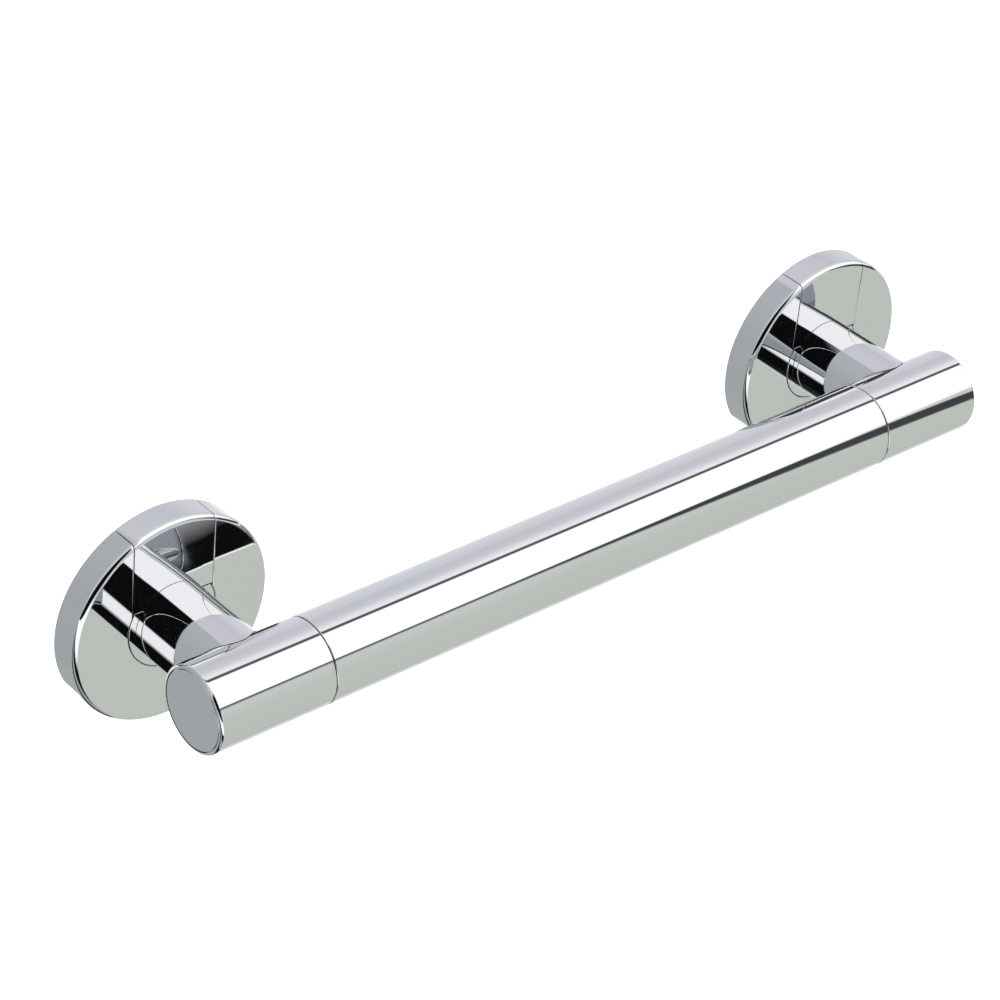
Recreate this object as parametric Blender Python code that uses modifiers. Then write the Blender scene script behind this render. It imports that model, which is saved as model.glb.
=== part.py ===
"""Suction grab bar: a chromed rail on two round suction heads, each with a flip-up release lever.

Frame: origin on the wall plane midway between the heads, +X along the rail, +Z up. The wall is the
plane Y = 0 and the bar stands out from it towards -Y. Each head is described by three distances from
its own centre: across (world X), up (world Z) and out (world -Y, away from the wall).
"""

import math

import bmesh
import bpy
from mathutils import Vector

MM = 0.001

# Rail and end sleeves
OVERALL_LENGTH = 355.0 * MM
RAIL_RADIUS = 16.0 * MM
RAIL_WALL = 1.5 * MM
SLEEVE_LENGTH = 47.4 * MM
SLEEVE_BORE = 13.0 * MM
END_ROUND = 1.3 * MM
RAIL_OUT = 56.0 * MM
CAP_DEPTH = 2.0 * MM
CAP_SKIRT = 5.0 * MM
CAP_WALL = 2.0 * MM
COUPLING_BORE = 10.5 * MM
COUPLING_IN_RAIL = 18.0 * MM
COUPLING_IN_SLEEVE = 11.0 * MM

# Heads
HEAD_SPACING = 307.5 * MM
COVER_RADIUS = 40.0 * MM
COVER_DEPTH = 12.0 * MM
COVER_ROUND = 2.0 * MM
COVER_WALL = 1.4 * MM
COVER_RIM_WALL = 1.6 * MM
COVER_CLEAR_OF_WALL = 0.6 * MM
SLOT_HALF_WIDTH = 16.5 * MM
COLLAR_HOLE_RADIUS = 18.0 * MM
POST_RADIUS = 15.0 * MM
POST_BORE = 9.2 * MM
POST_BORE_END = 31.5 * MM
SPIGOT_RADIUS = 12.5 * MM

# Release lever: hinge axis, and where the plate and its cam noses end
HINGE_UP = 17.0 * MM
HINGE_OUT = 9.2 * MM
LEVER_FOOT_UP = 9.2 * MM
LEVER_ARCH_RADIUS = 14.0 * MM
CAM_THROW = 4.0 * MM
CAM_LEAD = math.radians(17.0)
KNUCKLE_RADIUS = 1.6 * MM
HINGE_PIN_RADIUS = 0.8 * MM
CHEEK_ACROSS = (11.2 * MM, 13.0 * MM)
HINGE_PIN_END = 19.8 * MM

# Housing, cup and pull stud, as distances out from the wall
WEB_OUT = (7.6 * MM, 10.4 * MM)
LEVER_WINDOW_UP = (11.6 * MM, 19.2 * MM)
FOOT_WINDOW_ACROSS = 5.8 * MM
FOOT_WINDOW_UP = (8.2 * MM, 12.0 * MM)
SKIRT_RADII = (34.2 * MM, 38.2 * MM)
PRESS_RIB_RADII = (27.5 * MM, 29.5 * MM)
LIP_THICKNESS = 1.6 * MM
CUP_RADIUS = 37.8 * MM
CUP_CENTRE_OUT = (3.0 * MM, 4.8 * MM)
CUP_WAIST_RADIUS = 19.0 * MM
CUP_SHELF_RADIUS = 26.5 * MM
CUP_EDGE_BEVEL = 0.6 * MM
PLATE_OUT = (5.0 * MM, 6.08 * MM)
PLATE_RADIUS = 21.0 * MM
STUD_RADIUS = 3.0 * MM
STUD_TIP_OUT = 29.6 * MM
STUD_FLANGE_RADIUS = 6.0 * MM
STUD_FLANGE_THICKNESS = 1.0 * MM
STUD_BORE_PLAY = 0.4 * MM
WASHER_OUT = (24.5 * MM, 25.5 * MM)
WASHER_RADIUS = 8.5 * MM
NUT_OUT = (25.7 * MM, 29.2 * MM)
NUT_RADIUS = 5.5 * MM
SPRING_COIL_RADIUS = 5.4 * MM
SPRING_WIRE_RADIUS = 0.6 * MM
SPRING_TURNS = 4

# Fasteners
SCREW_CIRCLE = 10.85 * MM
SCREW_PLACES = ((-SCREW_CIRCLE, 0.0), (0.0, -SCREW_CIRCLE), (SCREW_CIRCLE, 0.0))
SCREW_SHANK = 1.2 * MM
SCREW_HEAD = 2.4 * MM
SCREW_IN_POST = 8.5 * MM
SCREW_SOCKET_RADIUS = 1.0 * MM
SCREW_SOCKET_DEPTH = 0.9 * MM
BOLT_RADIUS = 3.0 * MM
BOLT_TIP_OUT = 33.6 * MM
BOLT_HEAD_OUT = (44.3 * MM, 49.0 * MM)
BOLT_HEAD_RADIUS = 5.0 * MM
BOLT_SOCKET_RADIUS = 2.5 * MM
BOLT_SOCKET_DEPTH = 2.5 * MM
GRUB_RADIUS = 2.5 * MM
GRUB_SOCKET_RADIUS = 1.3 * MM
RAIL_GRUB_ALONG = OVERALL_LENGTH / 2 - SLEEVE_LENGTH - 9 * MM
SLEEVE_GRUB_ALONG = OVERALL_LENGTH / 2 - SLEEVE_LENGTH + 6 * MM

# Clearances
SEAM = 0.3 * MM
SEAT = 0.15 * MM
PIN_PLAY = 0.05 * MM
DRILL_PLAY = 0.1 * MM

FINE = 44
ROUND = 28
MEDIUM = 16
SMALL = 12

FINISHES = {
    "chrome": ((0.80, 0.81, 0.83, 1.0), 0.05, 1.0),
    "steel": ((0.60, 0.60, 0.61, 1.0), 0.30, 1.0),
    "spring_steel": ((0.45, 0.45, 0.47, 1.0), 0.35, 1.0),
    "housing_plastic": ((0.82, 0.82, 0.80, 1.0), 0.50, 0.0),
    "cup_rubber": ((0.09, 0.09, 0.10, 1.0), 0.60, 0.0),
}


# ---------------------------------------------------------------- scene and objects

def clear_scene():
    for obj in list(bpy.data.objects):
        bpy.data.objects.remove(obj, do_unlink=True)


def new_collection(name):
    collection = bpy.data.collections.new(name)
    bpy.context.scene.collection.children.link(collection)
    return collection


def finish_material(name):
    existing = bpy.data.materials.get(name)
    if existing:
        return existing
    colour, roughness, metallic = FINISHES[name]
    material = bpy.data.materials.new(name)
    material.use_nodes = True
    shader = material.node_tree.nodes["Principled BSDF"]
    shader.inputs["Base Color"].default_value = colour
    shader.inputs["Roughness"].default_value = roughness
    shader.inputs["Metallic"].default_value = metallic
    return material


def new_object(name, data, place=(0, 0, 0), turn=(0, 0, 0), finish=None):
    """Add an object to the parts when it has a finish, and to the cutters when it has none."""
    obj = bpy.data.objects.new(name, data)
    obj.location = place
    obj.rotation_euler = turn
    if finish is None:
        CUTTERS.objects.link(obj)
        obj.hide_render = True
        obj.display_type = "WIRE"
    else:
        PARTS.objects.link(obj)
        data.materials.append(finish_material(finish))
    return obj


def mesh_from(name, bm):
    mesh = bpy.data.meshes.new(name)
    bm.to_mesh(mesh)
    bm.free()
    return mesh


def turned(name, profile, place, turn, finish=None, steps=ROUND, closed=False):
    """Turn (radius, height) points about local Z. The points run down the outer side."""
    bm = bmesh.new()
    verts = [bm.verts.new((radius, 0, height)) for radius, height in profile]
    pairs = list(zip(verts, verts[1:]))
    if closed:
        pairs.append((verts[-1], verts[0]))
    for pair in pairs:
        bm.edges.new(pair)
    obj = new_object(name, mesh_from(name, bm), place, turn, finish)
    screw = obj.modifiers.new("turn", "SCREW")
    screw.steps = steps
    screw.render_steps = steps
    screw.use_merge_vertices = True
    screw.merge_threshold = 0.00001
    return obj


def cylinder(name, radius, start, end, finish=None, segments=SMALL):
    """A solid cylinder from one world point to another, with its origin at the first."""
    start, end = Vector(start), Vector(end)
    reach = end - start
    bm = bmesh.new()
    bmesh.ops.create_cone(
        bm, cap_ends=True, segments=segments, radius1=radius, radius2=radius, depth=reach.length
    )
    bmesh.ops.translate(bm, verts=bm.verts, vec=(0, 0, reach.length / 2))
    turn = reach.to_track_quat("Z", "Y").to_euler()
    return new_object(name, mesh_from(name, bm), start, turn, finish)


def block(name, low, high, finish=None):
    """A box between two world corners, with its origin at its middle."""
    low, high = Vector(low), Vector(high)
    bm = bmesh.new()
    bmesh.ops.create_cube(bm, size=1.0)
    bmesh.ops.scale(bm, vec=high - low, verts=bm.verts)
    return new_object(name, mesh_from(name, bm), (low + high) / 2, (0, 0, 0), finish)


def boolean(target, tool, operation):
    modifier = target.modifiers.new(operation.lower(), "BOOLEAN")
    modifier.object = tool
    modifier.operation = operation
    modifier.solver = "EXACT"


def cut(target, *tools):
    for tool in tools:
        boolean(target, tool, "DIFFERENCE")


def settle(obj):
    """Replace an object's data by its finished mesh, welded and shaded with sharp edges kept."""
    evaluated = obj.evaluated_get(bpy.context.evaluated_depsgraph_get())
    mesh = bpy.data.meshes.new_from_object(evaluated)
    bm = bmesh.new()
    bm.from_mesh(mesh)
    bmesh.ops.remove_doubles(bm, verts=bm.verts, dist=0.000001)
    bmesh.ops.dissolve_degenerate(bm, edges=bm.edges, dist=0.000001)
    bm.to_mesh(mesh)
    bm.free()
    mesh.shade_smooth()
    mesh.set_sharp_from_angle(angle=math.radians(30))
    return mesh


def quarter(centre, radius, first, last, steps):
    """Points of an arc in the (radius, height) plane, angles in degrees."""
    points = []
    for i in range(steps + 1):
        angle = math.radians(first + (last - first) * i / steps)
        points.append((centre[0] + radius * math.cos(angle), centre[1] + radius * math.sin(angle)))
    return points


# ---------------------------------------------------------------- frames

class Head:
    """One suction head: its name, its side of the bar and its centre on the wall."""

    def __init__(self, name, side):
        self.name = name
        self.side = side
        self.across = side * HEAD_SPACING / 2
        self.place = (self.across, 0, 0)
        self.turn = (math.pi / 2, 0, 0)

    def at(self, across, up, out):
        return Vector((self.across + across, -out, up))

    def node(self, piece):
        return self.name + "_" + piece

    def turned(self, piece, profile, finish=None, steps=ROUND, closed=False):
        return turned(self.node(piece), profile, self.place, self.turn, finish, steps, closed)

    def turned_on_rail(self, piece, profile, finish=None, steps=ROUND, closed=False):
        """Turn about the rail's axis, heights measured from the bar's middle to this side."""
        turn = (0, self.side * math.pi / 2, 0)
        return turned(self.node(piece), profile, (0, -RAIL_OUT, 0), turn, finish, steps, closed)

    def rod(self, piece, radius, start, end, finish=None, segments=SMALL):
        return cylinder(self.node(piece), radius, self.at(*start), self.at(*end), finish, segments)

    def box(self, piece, across, up, out, finish=None):
        low = (self.across + across[0], -out[1], up[0])
        high = (self.across + across[1], -out[0], up[1])
        return block(self.node(piece), low, high, finish)

    def empty(self, piece, place):
        guide = bpy.data.objects.new(self.node(piece), None)
        guide.location = place
        PARTS.objects.link(guide)
        return guide


def hang(obj, guide):
    """Parent an unturned guide's child without moving it."""
    obj.parent = guide
    obj.location = Vector(obj.location) - guide.location


# ---------------------------------------------------------------- rail

def rail_screw_hole(head, along, name):
    """A radial hole through the underside, at a distance along the rail from the bar's middle."""
    x = head.side * along
    top = (x, -RAIL_OUT, -SLEEVE_BORE + 4 * MM)
    bottom = (x, -RAIL_OUT, -RAIL_RADIUS - 2 * MM)
    return cylinder(head.node(name), GRUB_RADIUS + DRILL_PLAY, top, bottom)


def grub_screw(head, name, along):
    x = head.side * along
    inner, outer = -SLEEVE_BORE + 2.2 * MM, -RAIL_RADIUS + 0.4 * MM
    screw = cylinder(head.node(name), GRUB_RADIUS, (x, -RAIL_OUT, inner), (x, -RAIL_OUT, outer), "steel")
    start, end = (x, -RAIL_OUT, outer + 2 * MM), (x, -RAIL_OUT, outer - MM)
    socket = cylinder(head.node(name + "_socket"), GRUB_SOCKET_RADIUS, start, end, segments=6)
    cut(screw, socket)


def rail_tube(heads):
    half = OVERALL_LENGTH / 2 - SLEEVE_LENGTH - SEAM / 2
    bore = RAIL_RADIUS - RAIL_WALL
    profile = [(RAIL_RADIUS, half), (RAIL_RADIUS, -half), (bore, -half), (bore, half)]
    turn = (0, math.pi / 2, 0)
    tube = turned("rail_tube", profile, (0, -RAIL_OUT, 0), turn, "chrome", FINE, closed=True)
    for head in heads:
        cut(tube, rail_screw_hole(head, RAIL_GRUB_ALONG, "rail_hole"))


def end_sleeve(head):
    end = OVERALL_LENGTH / 2
    start = end - SLEEVE_LENGTH + SEAM / 2
    recess = RAIL_RADIUS - END_ROUND - 0.05 * MM
    rounded = quarter((RAIL_RADIUS - END_ROUND, end - END_ROUND), END_ROUND, 90, 0, 2)
    profile = rounded + [(RAIL_RADIUS, start), (SLEEVE_BORE, start), (SLEEVE_BORE, end - CAP_DEPTH)]
    profile += [(recess, end - CAP_DEPTH), (recess, end)]
    sleeve = head.turned_on_rail("end_sleeve", profile, "chrome", FINE, closed=True)
    bolt_hole = head.rod("sleeve_bolt_hole", BOLT_RADIUS + SEAM, (0, 0, 38 * MM), (0, 0, 50 * MM))
    cut(sleeve, bolt_hole, rail_screw_hole(head, SLEEVE_GRUB_ALONG, "sleeve_hole"))


def end_cap(head):
    end = OVERALL_LENGTH / 2
    face = RAIL_RADIUS - END_ROUND - 0.05 * MM - SEAM
    plug = SLEEVE_BORE - SEAT
    back = end - CAP_DEPTH + SEAT
    foot, bore = back - CAP_SKIRT, plug - CAP_WALL
    profile = [(0, end), (face, end), (face, back), (plug, back), (plug, foot)]
    profile += [(bore, foot), (bore, back - MM), (0, back - MM)]
    head.turned_on_rail("end_cap", profile, "chrome", ROUND)


def coupling(head):
    joint = OVERALL_LENGTH / 2 - SLEEVE_LENGTH
    in_rail = RAIL_RADIUS - RAIL_WALL - SEAT
    in_sleeve = SLEEVE_BORE - SEAT
    far, near = joint + COUPLING_IN_SLEEVE, joint - COUPLING_IN_RAIL
    step = joint - SEAM
    profile = [(in_sleeve, far), (in_sleeve, step), (in_rail, step), (in_rail, near)]
    profile += [(COUPLING_BORE, near), (COUPLING_BORE, far)]
    tube = head.turned_on_rail("coupling_tube", profile, "steel", ROUND, closed=True)
    cut(tube, rail_screw_hole(head, RAIL_GRUB_ALONG, "coupling_rail_hole"))
    cut(tube, rail_screw_hole(head, SLEEVE_GRUB_ALONG, "coupling_sleeve_hole"))
    grub_screw(head, "rail_grub_screw", RAIL_GRUB_ALONG)
    grub_screw(head, "sleeve_grub_screw", SLEEVE_GRUB_ALONG)


# ---------------------------------------------------------------- post

def post(head):
    """A thick tube with a locating spigot in the cover and a saddle end against the sleeve."""
    shoulder = COVER_DEPTH + SEAT
    foot = WEB_OUT[1] + SEAT
    profile = [(0, RAIL_OUT), (POST_RADIUS, RAIL_OUT), (POST_RADIUS, shoulder)]
    profile += [(SPIGOT_RADIUS, shoulder), (SPIGOT_RADIUS, foot), (POST_BORE, foot)]
    profile += [(POST_BORE, POST_BORE_END), (0, POST_BORE_END)]
    body = head.turned("post", profile, "chrome", ROUND)
    half = 30 * MM
    x, y = head.across, -RAIL_OUT
    saddle = cylinder(
        head.node("saddle"), RAIL_RADIUS + SEAT, (x - half, y, 0), (x + half, y, 0), segments=FINE
    )
    cut(body, saddle)
    cut(body, head.rod("post_bolt_hole", BOLT_RADIUS + DRILL_PLAY, (0, 0, 33 * MM), (0, 0, 42 * MM)))
    for i, (across, up) in enumerate(SCREW_PLACES, 1):
        start, end = (across, up, foot - MM), (across, up, foot + 9 * MM)
        cut(body, head.rod("post_pilot_%d" % i, SCREW_SHANK + DRILL_PLAY, start, end))


def post_bolt(head):
    low, high = BOLT_HEAD_OUT
    profile = [(0, high), (BOLT_HEAD_RADIUS, high), (BOLT_HEAD_RADIUS, low), (BOLT_RADIUS, low)]
    profile += [(BOLT_RADIUS, BOLT_TIP_OUT), (0, BOLT_TIP_OUT)]
    bolt = head.turned("post_bolt", profile, "steel", MEDIUM)
    start, end = (0, 0, high - BOLT_SOCKET_DEPTH), (0, 0, high + MM)
    cut(bolt, head.rod("post_bolt_socket", BOLT_SOCKET_RADIUS, start, end, segments=6))


def housing_screws(head):
    """Countersunk screws from the wall side, which hold the post on the housing."""
    base = WEB_OUT[0] + SEAT
    neck = base + (SCREW_HEAD - SCREW_SHANK)
    tip = WEB_OUT[1] + SCREW_IN_POST
    for i, (across, up) in enumerate(SCREW_PLACES, 1):
        profile = [(0, tip), (SCREW_SHANK, tip), (SCREW_SHANK, neck), (SCREW_HEAD, base), (0, base)]
        name = head.node("housing_screw_%d" % i)
        screw = turned(name, profile, head.at(across, up, 0), head.turn, "steel", SMALL)
        start, end = (across, up, base - MM), (across, up, base + SCREW_SOCKET_DEPTH)
        cut(screw, head.rod("screw_socket_%d" % i, SCREW_SOCKET_RADIUS, start, end, segments=6))


# ---------------------------------------------------------------- cover, collar and lever

def cover_blank(head, piece, finish):
    """The whole round cover before its lever slot is cut: a shallow cup with a rounded edge."""
    face, rim = COVER_DEPTH, COVER_CLEAR_OF_WALL
    flat = COVER_RADIUS - COVER_ROUND
    inner = COVER_RADIUS - COVER_RIM_WALL
    profile = [(0, face)] + quarter((flat, face - COVER_ROUND), COVER_ROUND, 90, 0, 3)
    profile += [(COVER_RADIUS, rim), (inner, rim), (inner, face - COVER_WALL), (0, face - COVER_WALL)]
    return head.turned(piece, profile, finish, FINE)


def flange_cover(head):
    cover = cover_blank(head, "flange_cover", "chrome")
    through = (-MM, COVER_DEPTH + MM)
    hole = head.rod("collar_hole", COLLAR_HOLE_RADIUS, (0, 0, through[0]), (0, 0, through[1]), segments=FINE)
    width = (-SLOT_HALF_WIDTH, SLOT_HALF_WIDTH)
    slot = head.box("lever_slot", width, (0, COVER_RADIUS + 2 * MM), through)
    cut(cover, hole, slot)


def post_collar(head):
    """The flush ring under the post, open at the top where the lever's foot comes down."""
    face, back = COVER_DEPTH, COVER_DEPTH - COVER_WALL
    outer, inner = COLLAR_HOLE_RADIUS - SEAM, SPIGOT_RADIUS + SEAM
    ring = head.turned(
        "post_collar", [(outer, face), (outer, back), (inner, back), (inner, face)], "chrome", ROUND,
        closed=True,
    )
    top = (LEVER_FOOT_UP - 2 * SEAM, COLLAR_HOLE_RADIUS + MM)
    cut(ring, head.box("collar_gap", (-20 * MM, 20 * MM), top, (back - MM, face + MM)))


def lever_cheek(head, name, low, high):
    """A cam cheek: the rounded hull of the hinge knuckle and the cam nose, along the hinge axis."""
    nose_up = HINGE_UP - CAM_THROW * math.cos(CAM_LEAD)
    nose_out = HINGE_OUT - CAM_THROW * math.sin(CAM_LEAD)
    bm = bmesh.new()
    root = (HINGE_UP, HINGE_OUT, KNUCKLE_RADIUS - DRILL_PLAY)
    nose = (nose_up, nose_out, KNUCKLE_RADIUS)
    for up, out, radius in (root, nose):
        for i in range(SMALL):
            angle = 2 * math.pi * i / SMALL
            rise, reach = radius * math.cos(angle), radius * math.sin(angle)
            for across in (low, high):
                bm.verts.new((across, -(out + reach), up + rise))
    hull = bmesh.ops.convex_hull(bm, input=bm.verts)
    spare = [v for v in hull["geom_interior"] + hull["geom_unused"] if isinstance(v, bmesh.types.BMVert)]
    bmesh.ops.delete(bm, geom=list(set(spare)), context="VERTS")
    bmesh.ops.recalc_face_normals(bm, faces=bm.faces)
    return new_object(head.node(name), mesh_from(name, bm), (head.across, 0, 0))


def release_lever(head):
    """The flush plate above the post: it wraps over the rim, and its cheeks press on the pull plate."""
    lever = cover_blank(head, "release_lever", "chrome")
    half = SLOT_HALF_WIDTH - SEAM
    tall = (LEVER_FOOT_UP, COVER_RADIUS + 2 * MM)
    boolean(lever, head.box("lever_outline", (-half, half), tall, (-MM, COVER_DEPTH + MM)), "INTERSECT")
    start, end = (0, 0, COVER_DEPTH - 3 * MM), (0, 0, COVER_DEPTH + MM)
    cut(lever, head.rod("lever_arch", LEVER_ARCH_RADIUS, start, end, segments=ROUND))
    for side, word in ((-1, "minus"), (1, "plus")):
        low, high = sorted((side * (CHEEK_ACROSS[0] + SEAT), side * (half - SEAT)))
        start, end = (low, HINGE_UP, HINGE_OUT), (high, HINGE_UP, HINGE_OUT)
        boolean(lever, head.rod("knuckle_" + word, KNUCKLE_RADIUS, start, end), "UNION")
        low, high = sorted((side * CHEEK_ACROSS[0], side * CHEEK_ACROSS[1]))
        boolean(lever, lever_cheek(head, "cheek_" + word, low, high), "UNION")
    start, end = (-20 * MM, HINGE_UP, HINGE_OUT), (20 * MM, HINGE_UP, HINGE_OUT)
    cut(lever, head.rod("knuckle_bore", HINGE_PIN_RADIUS + PIN_PLAY, start, end))
    hang(lever, head.empty("lever_hinge_axis", head.at(0, HINGE_UP, HINGE_OUT)))


def lever_pins(head):
    for side, word in ((-head.side, "inner"), (head.side, "outer")):
        start = (side * CHEEK_ACROSS[0], HINGE_UP, HINGE_OUT)
        end = (side * HINGE_PIN_END, HINGE_UP, HINGE_OUT)
        head.rod("lever_pin_" + word, HINGE_PIN_RADIUS, start, end, "steel")


# ---------------------------------------------------------------- housing, cup and pull stud

def base_housing(head):
    """The plastic body: a web that carries the post and the hinge, a skirt and a rib that press the lip."""
    back, front = WEB_OUT
    foot = LIP_THICKNESS + SEAM
    inner_skirt, outer_skirt = SKIRT_RADII
    rib_in, rib_out = PRESS_RIB_RADII
    profile = [(0, front), (outer_skirt, front), (outer_skirt, foot), (inner_skirt, foot)]
    profile += [(inner_skirt, back), (rib_out, back), (rib_out, foot), (rib_in, foot), (rib_in, back)]
    profile += [(0, back)]
    housing = head.turned("base_housing", profile, "housing_plastic", ROUND)
    through = (back - MM, front + MM)
    half = SLOT_HALF_WIDTH
    cut(housing, head.box("lever_window", (-half, half), LEVER_WINDOW_UP, through))
    for side, word in ((-1, "minus"), (1, "plus")):
        across = tuple(sorted((side * FOOT_WINDOW_ACROSS, side * half)))
        cut(housing, head.box("foot_window_" + word, across, FOOT_WINDOW_UP, through))
    reach = 20 * MM
    start, end = (-reach, HINGE_UP, HINGE_OUT), (reach, HINGE_UP, HINGE_OUT)
    cut(housing, head.rod("pin_bore", HINGE_PIN_RADIUS + PIN_PLAY, start, end))
    stud_bore = STUD_RADIUS + STUD_BORE_PLAY
    cut(housing, head.rod("stud_bore", stud_bore, (0, 0, through[0]), (0, 0, through[1])))
    shank, head_hole = SCREW_SHANK + SEAM, SCREW_HEAD + 2 * DRILL_PLAY
    for i, (across, up) in enumerate(SCREW_PLACES, 1):
        profile = [(0, front + MM), (shank, front + MM), (shank, back + head_hole - shank)]
        profile += [(head_hole, back), (head_hole, back - MM), (0, back - MM)]
        name = head.node("countersink_%d" % i)
        cut(housing, turned(name, profile, head.at(across, up, 0), head.turn, steps=SMALL))


def suction_cup(head):
    """A rubber disc with its lip flat on the wall and its middle drawn away from it."""
    face, back = CUP_CENTRE_OUT
    waist, shelf, bevel = CUP_WAIST_RADIUS, CUP_SHELF_RADIUS, CUP_EDGE_BEVEL
    lip = LIP_THICKNESS
    profile = [(0, back), (waist, back), (shelf, lip + 0.2 * MM), (shelf + MM, lip)]
    profile += [(CUP_RADIUS - bevel, lip), (CUP_RADIUS, lip - bevel), (CUP_RADIUS, 0)]
    profile += [(shelf, 0), (waist, face), (0, face)]
    head.turned("suction_cup", profile, "cup_rubber", ROUND)


def plunger(head):
    """The plate on the cup, its stud through the post, and the washer and nut that end it."""
    guide = head.empty("pull_slide_axis", head.at(0, 0, PLATE_OUT[1]))
    back, front = PLATE_OUT
    plate_edge = [(0, front), (PLATE_RADIUS, front), (PLATE_RADIUS, back), (0, back)]
    plate = head.turned("pull_plate", plate_edge, "steel", ROUND)
    seat = front + SEAT
    shoulder = seat + STUD_FLANGE_THICKNESS
    profile = [(0, STUD_TIP_OUT), (STUD_RADIUS, STUD_TIP_OUT), (STUD_RADIUS, shoulder)]
    profile += [(STUD_FLANGE_RADIUS, shoulder), (STUD_FLANGE_RADIUS, seat), (0, seat)]
    stud = head.turned("pull_stud", profile, "steel", MEDIUM)
    bore = STUD_RADIUS + DRILL_PLAY
    low, high = WASHER_OUT
    ring = [(WASHER_RADIUS, high), (WASHER_RADIUS, low), (bore, low), (bore, high)]
    washer = head.turned("stud_washer", ring, "steel", MEDIUM, closed=True)
    low, high = NUT_OUT
    nut = head.rod("stud_nut", NUT_RADIUS, (0, 0, low), (0, 0, high), "steel", 6)
    cut(nut, head.rod("nut_bore", bore, (0, 0, low - MM), (0, 0, high + MM)))
    for piece in (plate, stud, washer, nut):
        hang(piece, guide)


def stud_spring(head):
    """A round-wire compression spring about the stud, between the housing and the washer."""
    wire, coil, points_per_turn = SPRING_WIRE_RADIUS, SPRING_COIL_RADIUS, 10
    low, high = WEB_OUT[1] + wire + SEAT, WASHER_OUT[0] - wire - SEAT
    count = SPRING_TURNS * points_per_turn
    curve = bpy.data.curves.new(head.node("stud_spring"), "CURVE")
    curve.dimensions = "3D"
    curve.bevel_depth = wire
    curve.bevel_resolution = 2
    curve.use_fill_caps = True
    spline = curve.splines.new("POLY")
    spline.points.add(count)
    for i in range(count + 1):
        angle = 2 * math.pi * i / points_per_turn
        height = low + (high - low) * i / count
        spline.points[i].co = (coil * math.cos(angle), coil * math.sin(angle), height, 1)
    new_object(head.node("stud_spring"), curve, head.place, head.turn, "spring_steel")


# ---------------------------------------------------------------- build

def settle_parts():
    """Turn every part into its finished mesh, so that nothing depends on a live modifier."""
    bpy.context.view_layer.update()
    finished = {obj: settle(obj) for obj in PARTS.objects if obj.type in {"MESH", "CURVE"}}
    for obj, mesh in finished.items():
        if obj.type == "CURVE":
            solid = bpy.data.objects.new("wire_solid", mesh)
            solid.matrix_world = obj.matrix_world
            PARTS.objects.link(solid)
            name = obj.name
            bpy.data.objects.remove(obj, do_unlink=True)
            solid.name = name
        else:
            obj.modifiers.clear()
            obj.data = mesh


def main():
    heads = [Head("left", -1), Head("right", 1)]
    rail_tube(heads)
    for head in heads:
        end_sleeve(head)
        end_cap(head)
        coupling(head)
        post(head)
        post_bolt(head)
        housing_screws(head)
        flange_cover(head)
        post_collar(head)
        release_lever(head)
        lever_pins(head)
        base_housing(head)
        suction_cup(head)
        plunger(head)
        stud_spring(head)
    settle_parts()


clear_scene()
PARTS = new_collection("suction_grab_bar")
CUTTERS = new_collection("cutters")
main()
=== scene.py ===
import math

import bmesh
import bpy
from mathutils import Matrix, Vector


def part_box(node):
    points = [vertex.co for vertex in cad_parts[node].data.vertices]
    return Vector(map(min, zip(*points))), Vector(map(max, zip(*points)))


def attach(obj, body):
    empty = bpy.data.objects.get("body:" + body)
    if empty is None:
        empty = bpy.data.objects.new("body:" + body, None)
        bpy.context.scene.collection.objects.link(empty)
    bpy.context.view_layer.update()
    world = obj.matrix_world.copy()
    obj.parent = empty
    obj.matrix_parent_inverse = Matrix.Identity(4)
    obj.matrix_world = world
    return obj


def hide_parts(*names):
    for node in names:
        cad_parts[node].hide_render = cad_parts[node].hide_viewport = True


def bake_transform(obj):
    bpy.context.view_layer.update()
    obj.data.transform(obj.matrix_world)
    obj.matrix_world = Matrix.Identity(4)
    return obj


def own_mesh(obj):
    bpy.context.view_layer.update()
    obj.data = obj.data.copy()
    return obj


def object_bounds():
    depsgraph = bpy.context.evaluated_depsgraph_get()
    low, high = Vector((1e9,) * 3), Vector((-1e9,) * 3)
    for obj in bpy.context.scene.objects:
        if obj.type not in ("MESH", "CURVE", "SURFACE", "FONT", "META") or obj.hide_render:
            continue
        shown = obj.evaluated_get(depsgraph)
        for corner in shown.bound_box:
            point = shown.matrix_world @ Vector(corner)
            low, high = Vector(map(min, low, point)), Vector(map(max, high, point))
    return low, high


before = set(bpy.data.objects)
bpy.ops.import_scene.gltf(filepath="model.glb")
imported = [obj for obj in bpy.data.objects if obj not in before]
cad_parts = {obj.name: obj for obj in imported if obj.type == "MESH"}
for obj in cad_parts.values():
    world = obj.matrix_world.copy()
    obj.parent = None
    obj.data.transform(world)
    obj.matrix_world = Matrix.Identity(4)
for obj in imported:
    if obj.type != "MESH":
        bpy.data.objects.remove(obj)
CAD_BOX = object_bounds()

# Suction grab bar: a chromed rail on two suction heads, each with a flush release lever above its post.
# The wall is the plane Y = 0 and the bar stands out from it towards -Y; "out" is the distance -Y.

MM = 0.001
FINE_SIDES = 192
POST_SIDES = 144
HOLE_SIDES = 48
SMALL_SIDES = 32

HEADS = {"left": -1, "right": 1}


# ---------------------------------------------------------------- sizes, read from the frame

def middle(low, high):
    return (low + high) / 2


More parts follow.
